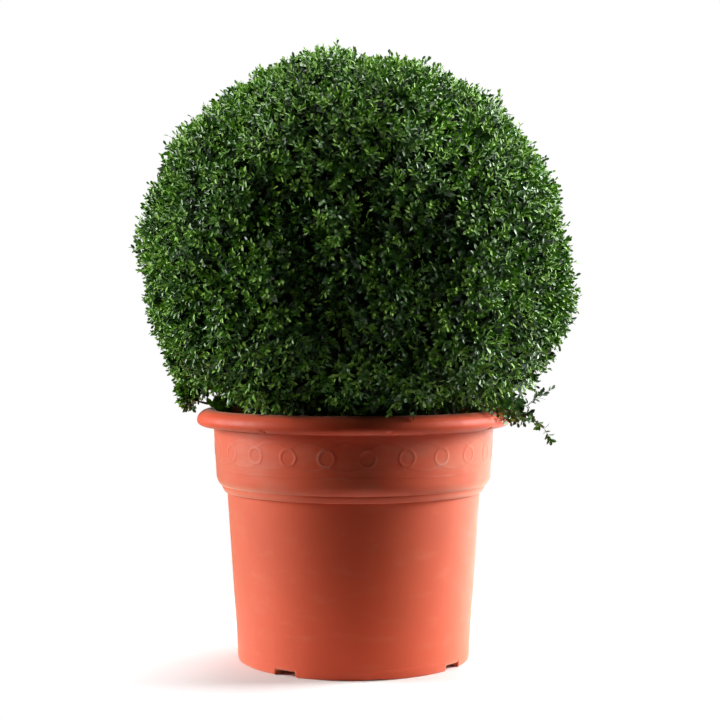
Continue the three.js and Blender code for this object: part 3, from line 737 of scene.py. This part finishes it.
# tufts: how many twigs, from where to where on the stem, their length, how they lift, leaves on each
# boughTufts: the same on the bough that carries the spray
# sprigs: where on the stem, and where the tip comes to
# shares: of the leaf tints, light to dark; the right spray's mostly dark tints are painted shade, the left spray's
# mostly light tints painted light
lowSprays = [
    {"side": "right", "azimuth": -4, "reach": 84, "rise": -30, "seed": 11, "shares": (0.04, 0.1, 0.2, 0.3, 0.36),
     "tufts": [(13, 0.05, 0.45, 28, 0.5, 9), (6, 0.0, 0.3, 26, -0.1, 8), (6, 0.55, 1.0, 8, -0.2, 6)],
     "boughTufts": [(8, 0.8, 1.0, 16, 0.3, 7)],
     "sprigs": [(0.30, (286, -14, 389)), (0.38, (270, -30, 386)), (0.96, (284, -20, 314)), (0.04, (227, -60, 351)),
                (0.1, (232, -42, 348)), (0.02, (208, -50, 370)), (0.16, (238, -28, 350)), (0.02, (214, -92, 357)),
                (0.03, (226, -36, 366)), (0.12, (238, -14, 358)), (0.02, (204, -104, 366)), (0.08, (230, -52, 360)),
                (0.02, (221, -77, 353)), (0.05, (224, -68, 362)), (0.02, (212, -72, 368)), (0.1, (233, -32, 360)),
                (0.02, (197, -121, 357)), (0.02, (203, -108, 352)), (0.03, (210, -96, 349)), (0.03, (216, -84, 346)),
                (0.04, (222, -68, 342)), (0.02, (190, -131, 361)), (0.02, (184, -140, 366)), (0.03, (208, -84, 362)),
                (0.02, (200, -98, 366)), (0.02, (192, -112, 369))]},
    {"side": "left", "azimuth": 186, "reach": 44, "rise": 9, "seed": 23, "shares": (0.34, 0.38, 0.16, 0.06, 0.06),
     "tufts": [(40, 0.62, 1.0, 22, 1.1, 14)],
     "boughTufts": [(24, 0.84, 0.98, 6, 0.0, 7)],
     "sprigs": [(0.03, (-190, -18, 386)), (0.01, (-182, -62, 368)), (0.02, (-174, -78, 368)),
                (0.9, (-239, -30, 362)), (0.8, (-247, -8, 367)), (0.95, (-229, -40, 360)), (0.86, (-250, -24, 372))]},
    {"side": "back", "azimuth": 98, "reach": 64, "rise": -20, "seed": 37, "shares": (0.05, 0.33, 0.28, 0.22, 0.12),
     "tufts": [(40, 0.0, 0.5, 26, 0.4, 13), (10, 0.5, 1.0, 16, 0.0, 9)],
     "boughTufts": [(16, 0.8, 1.0, 15, 0.2, 9)],
     "sprigs": [(0.35, (-40, 262, 384)), (0.9, (-36, 262, 332))]},
]
# tuft twigs may stand this far out of the box that the solids keep, in metres
tuftShape = {"room": 0.004, "uneven": 0.4, "lengths": (0.6, 1.25), "onward": 0.75, "bend": 0.5}
# sprigs that hang over the rim have fewer leaves, and only towards the tip
sprigShape = {"leaves": 14, "bend": 0.45, "hangsWithin": 0.5, "hangLift": 0.3, "hangLeaves": 8, "hangFrom": 0.6}
# lowest height a leaf may have over the soil and the rim, by its distance from the axis
clearance = {"radius": (0, 192, 196, 201, 207, 215, 222.5, 226, 229, 229.5),
             "height": (343, 343, 352, 360, 362, 361, 355.5, 349, 338, 300)}
# places along X where the lower edge of the crown is lifted, with their width and lift
edgeLifts = {"level": 361, "least": 3, "places": [(-195, 21, 33), (158, 12, 9)]}
leavesFrom = 0.28  # where along a shoot its leaves start
endShare = 0.999  # just short of a line's end


def aroundAt(azimuth, radius, height):
    turn = math.radians(azimuth)
    return np.array([radius * math.cos(turn), radius * math.sin(turn), height]) * mm


def smoothLine(points, steps):
    padded = np.array([2 * points[0] - points[1], *points, 2 * points[-1] - points[-2]])
    made = []
    for place in np.linspace(0, len(points) - 1, steps + 1):
        index = min(int(place), len(points) - 2)
        t = place - index
        a, b, c, d = padded[index:index + 4]
        made.append(b + 0.5 * t * (c - a + t * (2 * a - 5 * b + 4 * c - d + t * (3 * (b - c) + d - a))))
    return np.array(made)


def lowLine(spray):
    azimuth, foot, tip = spray["azimuth"], lowBough["foot"], lowBough["tipReach"]
    low, high = lowBough["footHeight"], lowBough["tipHeight"]
    points = [aroundAt(azimuth, foot, low)]
    for run, rise in lowBough["way"]:
        points.append(aroundAt(azimuth, foot + (tip - foot) * run, low + (high - low) * rise))
    points.append(aroundAt(azimuth, tip, high))
    for turn, run, rise in lowBough["stemWay"]:
        points.append(aroundAt(azimuth + turn, tip + spray["reach"] * run, high + spray["rise"] * rise))
    whole = smoothLine(points, lowBough["steps"])
    split = lowBough["boughSteps"]
    return whole[:split + 1], whole[split:]


def clearOfPot(points):
    radii = np.hypot(points[..., 0], points[..., 1]) / mm
    return points[..., 2] / mm > np.interp(radii, clearance["radius"], clearance["height"])


def clearOfGaps(points):
    lift = sum(high * np.exp(-((points[..., 0] / mm - at) / width) ** 2) for at, width, high in edgeLifts["places"])
    return (lift < edgeLifts["least"]) | (points[..., 2] / mm > edgeLifts["level"] + lift)


def growTuft(stem, tuft, rng):
    count, first, last, length, lift, _ = tuft
    order = np.arange(count)
    shares = first + (last - first) * (order + rng.random(count)) / count
    roots, onward = pointAlong(stem[None], np.zeros(count, int), np.minimum(shares, endShare))
    side = unit(np.cross(onward, [0, 0, 1.0]))
    upper = np.cross(side, onward)
    turns = order * goldenAngle + rng.uniform(-tuftShape["uneven"], tuftShape["uneven"], count)
    spread = side * np.cos(turns)[:, None] + upper * np.sin(turns)[:, None]
    lengths = length * mm * rng.uniform(*tuftShape["lengths"], count)
    ends = roots + unit(onward * tuftShape["onward"] + spread + np.array([0, 0, lift])) * lengths[:, None]
    return bendLines(roots, ends, onward * tuftShape["bend"], 2)


# twig lines in groups, each with its leaves on a twig, where they start and the shares of the tints
def growSpray(spray, bough, stem):
    rng = np.random.default_rng(spray["seed"])
    low, high = (np.array(corner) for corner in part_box(f"low_spray_{spray['side']}"))
    grown = []
    for tuft in spray["tufts"]:
        lines = growTuft(stem, tuft, rng)
        within = ((lines > low - tuftShape["room"]) & (lines < high + tuftShape["room"])).all(axis=(1, 2))
        grown.append((lines[within & clearOfPot(lines).all(axis=1)], tuft[-1], leavesFrom, spray["shares"]))
    for tuft in spray["boughTufts"]:
        lines = growTuft(bough, tuft, rng)
        grown.append((lines[clearOfPot(lines).all(axis=1)], tuft[-1], leavesFrom, spray["shares"]))
    for share, end in spray["sprigs"]:
        root, onward = pointAlong(stem[None], np.zeros(1, int), np.array([share]))
        hangs = end[2] < lowBough["tipHeight"] and share < sprigShape["hangsWithin"]
        lead = onward * sprigShape["bend"] + np.array([0, 0, sprigShape["hangLift"] * hangs])
        lines = bendLines(root, np.array([end]) * mm, lead, 2)
        leaves, start = sprigShape["leaves"], leavesFrom
        if hangs:
            leaves, start = sprigShape["hangLeaves"], sprigShape["hangFrom"]
        grown.append((lines, leaves, start, spray["shares"]))
    return grown


shootsClear = (clearOfPot(shootLines) & clearOfGaps(shootLines)).all(axis=1)
shootLines, shootBack = shootLines[shootsClear], shootBack[shootsClear]
boughRadii = [radius * mm for radius in lowBough["radius"]]
stemRadii = (boughRadii[1], lowBough["tipRadius"] * mm)
sprayLines = []
for spray in lowSprays:
    side = spray["side"]
    boughLine, stemLine = lowLine(spray)
    sprayLines += growSpray(spray, boughLine, stemLine)
    limb = limbMesh(f"low_bough_{side}_limb", [boughLine], boughRadii, lowBough["sides"], barkRelief["lowBough"])
    addPiece(f"low_bough_{side}_limb", limb, bark, "bark", f"low_bough_{side}")
    stem = limbMesh(f"low_spray_{side}_stem", [stemLine], stemRadii, lowBough["stemSides"])
    addPiece(f"low_spray_{side}_stem", stem, brownTwig, "bark", f"low_spray_{side}")
allShoots = np.concatenate([shootLines, *(lines for lines, *_ in sprayLines)])
shootMesh = thinTwigs("crown_shoots", allShoots, growth["shoot"]["radius"])
addPiece("crown_shoots", shootMesh, greenTwig, "bark", "crown_ball")
print("low sprays grown:", [len(lines) for lines, *_ in sprayLines])

# leaves: small blades set round every shoot, dealt out by shoot into a few tints
leaf = {
    "seed": 77, "length": 0.0098, "lengths": (0.78, 1.16), "perShoot": 12, "crowding": 0.65, "opening": (80, 28),
    "tipFrom": 0.8, "tipScale": 0.8,  # leaves at the tip are smaller
    "looseScale": 1.12, "looseWidth": 1.5,  # leaves on the loose sprays are larger and wider
    "turnUneven": 0.25, "openUneven": 0.16, "rollUneven": 0.18,
    # shares of the shoots in each tint, from light to dark, and of the lightest ones that have young tips
    "shares": (0.25, 0.26, 0.22, 0.15, 0.12), "mixing": 0.6, "young": 0.6, "youngFrom": 0.6,
    # along the blade, across it and above it, for a blade of length 1; the faces fan round the last point
    "blade": [(0, 0, 0), (0.32, -0.20, 0.05), (0.70, -0.225, 0.04), (1, 0, -0.04), (0.70, 0.225, 0.04),
              (0.32, 0.20, 0.05), (0.54, 0, -0.03)],
    "innerBlade": [(0, 0, 0), (0.6, -0.24, 0.03), (1, 0, -0.06), (0.6, 0.24, 0.03), (0.5, 0, -0.02)],
    "innerLength": 0.0198, "innerLengths": (0.8, 1.2), "innerOpening": (70, 45),
    # how many inner leaves, and where along the line they start
    "onSpur": (16, 0.15), "onBranch": (96, 0.04), "onTwig": (18, 0.1), "onFoot": (2, 0.05),
}
leafTints = {
    "fresh": {"colour": (0.178, 0.364, 0.047), "roughness": 0.48, "gloss": 0.17},
    "green": {"colour": (0.134, 0.300, 0.039), "roughness": 0.45, "gloss": 0.27},
    "dusky": {"colour": (0.098, 0.230, 0.043), "roughness": 0.41, "gloss": 0.42},
    "deep": {"colour": (0.076, 0.192, 0.034), "roughness": 0.39, "gloss": 0.48},
    "shaded": {"colour": (0.040, 0.098, 0.024), "roughness": 0.37, "gloss": 0.5},
    "young": {"colour": (0.232, 0.424, 0.066), "roughness": 0.52, "gloss": 0.14},
}
# the inner leaves' tint is far darker than the outer ones: painted shade for the inside of the crown
innerTint = {"colour": (0.020, 0.050, 0.013), "roughness": 0.6, "gloss": 0.3}


def leafFrames(lines, perLine, firstAt, opening, rng):
    count = len(lines)
    order = np.arange(perLine)
    shares = firstAt + (1 - firstAt) * ((order[None] + rng.random((count, perLine))) / perLine) ** leaf["crowding"]
    owners = np.repeat(np.arange(count), perLine)
    roots, onward = pointAlong(lines, owners, np.minimum(shares.ravel(), endShare))
    side = unit(np.cross(onward, np.array([0.17, 0.29, 0.94])))
    upper = np.cross(side, onward)
    turns = rng.uniform(0, 6.3, (count, 1)) + order * goldenAngle
    turns = (turns + rng.normal(0, leaf["turnUneven"], (count, perLine))).ravel()
    outward = side * np.cos(turns)[:, None] + upper * np.sin(turns)[:, None]
    angle = np.radians(opening[0] + (opening[1] - opening[0]) * np.tile(order / (perLine - 1), count))
    angle = (angle + rng.normal(0, leaf["openUneven"], len(angle)))[:, None]
    along = onward * np.cos(angle) + outward * np.sin(angle)
    above = onward * np.sin(angle) - outward * np.cos(angle)
    roll = rng.normal(0, leaf["rollUneven"], len(angle))[:, None]
    across = np.cross(above, along)
    above, across = above * np.cos(roll) + across * np.sin(roll), across * np.cos(roll) - above * np.sin(roll)
    return roots, along, across, above


def bladePoints(roots, along, across, above, lengths, shape):
    lengthways, sideways, upwards = (part[:, None] for part in np.array(leaf[shape]).T)
    spread = along[:, None] * lengthways + across[:, None] * sideways + above[:, None] * upwards
    return roots[:, None] + spread * lengths[:, None, None]


def leafPiece(name, points, tint, *nodes):
    count, corners = len(points), points.shape[1] - 1
    rim = np.arange(corners)
    fan = np.stack([rim, (rim + 1) % corners, np.full(corners, corners)], 1)
    faces = (np.arange(count) * (corners + 1))[:, None, None] + fan
    mesh = joinedMesh(name, points.reshape(-1, 3), faces.reshape(-1, 3))
    material = newMaterial(name, tint["colour"], tint["roughness"], tint["gloss"])[0]
    addPiece(name, mesh, material, "leaves", *nodes)
    return corners * count


# shoots that stand proud get the light tints and young tips, set-back ones the dark: partly lighter new growth
# outside, partly painted shade in the hollows
def dressLines(lines, perLine, firstAt, scale, back, shares, rng):
    roots, along, across, above = leafFrames(lines, perLine, firstAt, leaf["opening"], rng)
    order = np.tile(np.arange(perLine), len(lines)) / (perLine - 1)
    lengths = leaf["length"] * scale * rng.uniform(*leaf["lengths"], len(roots))
    lengths = lengths * np.where(order > leaf["tipFrom"], leaf["tipScale"], 1.0)
    points = bladePoints(roots, along, across * scale ** leaf["looseWidth"], above, lengths, "blade")
    mixed = back + rng.normal(0, growth["shoot"]["clip"] * leaf["mixing"], len(lines))
    rank = (np.argsort(np.argsort(mixed)) + rng.random(len(lines))) / len(lines)
    tint = np.repeat(np.searchsorted(np.cumsum(shares)[:-1], rank), perLine)
    youngTip = np.repeat((rank < 2 * shares[0]) & (rng.random(len(lines)) < leaf["young"]), perLine)
    tint = np.where(youngTip & (order > leaf["youngFrom"]), len(shares), tint)
    kept = clearOfPot(points).all(axis=1)
    return points[kept], tint[kept]


def dressShoots():
    rng = np.random.default_rng(leaf["seed"])
    dressed = [dressLines(shootLines, leaf["perShoot"], leavesFrom, 1, shootBack, leaf["shares"], rng)]
    for lines, perLine, firstAt, shares in sprayLines:
        dressed.append(dressLines(lines, perLine, firstAt, leaf["looseScale"], np.zeros(len(lines)), shares, rng))
    points, tint = (np.concatenate(part) for part in zip(*dressed))
    sprayNodes = [f"low_spray_{spray['side']}" for spray in lowSprays]
    total = 0
    for index, (name, look) in enumerate(leafTints.items()):
        total += leafPiece(f"leaves_{name}", points[tint == index], look, "crown_ball", *sprayNodes)
    innerGroups = {
        "leaves_inner": ((spurLines, leaf["onSpur"]), (branchLines, leaf["onBranch"])),
        "leaves_behind": ((twigLines, leaf["onTwig"]), (shootLines[:, :2], leaf["onFoot"])),
    }
    for name, groups in innerGroups.items():
        inner = []
        for lines, (perLine, firstAt) in groups:
            frames = leafFrames(lines, perLine, firstAt, leaf["innerOpening"], rng)
            lengths = leaf["innerLength"] * rng.uniform(*leaf["innerLengths"], len(frames[0]))
            inner.append(bladePoints(*frames, lengths, "innerBlade"))
        points = np.concatenate(inner)
        kept = (clearOfPot(points) & clearOfGaps(points)).all(axis=1)
        total += leafPiece(name, points[kept], innerTint, "crown_ball")
    return total


print("leaves set:", dressShoots(), "triangles")
